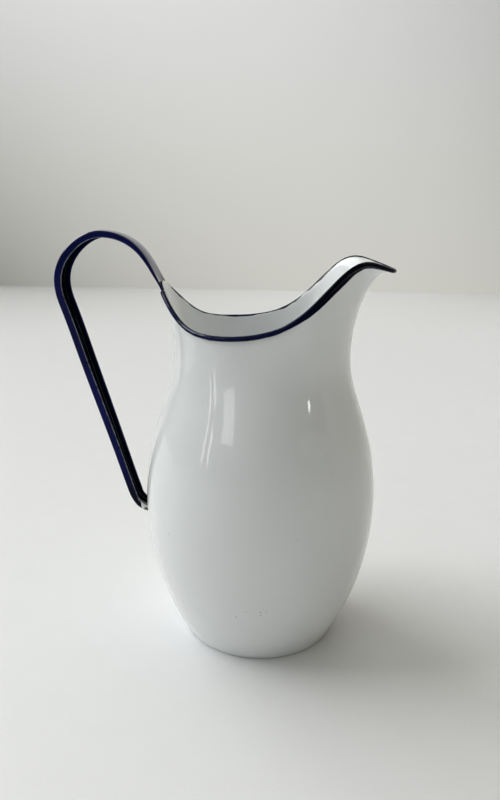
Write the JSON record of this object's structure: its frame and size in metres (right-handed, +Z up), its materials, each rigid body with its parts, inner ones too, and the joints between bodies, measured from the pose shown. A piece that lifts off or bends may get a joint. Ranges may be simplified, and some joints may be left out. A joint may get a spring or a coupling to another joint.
{
  "type": "enamelled steel milk pitcher",
  "caption": "Bellied enamelled steel pitcher with a rolled rim that sweeps up into a wide pouring lip, and a fixed arched strap handle behind.",
  "frame": {"origin": "centre of the standing ring, on the table plane", "axes": "+Z up along the body's axis, +X towards the pouring lip, handle on the -X side, Y across the symmetric halves"},
  "size_m": [0.2119, 0.1504, 0.2636],
  "materials": {
    "white_enamel": "gloss",
    "navy_enamel": "gloss",
    "steel_wire": "satin"
  },
  "bodies": {
    "root": {"lower_body": "white_enamel", "upper_body": "white_enamel", "base_pan": "white_enamel", "rim_bead": "navy_enamel", "rim_wire": "steel_wire", "handle_strap": "navy_enamel"}
  },
  "joints": []
}
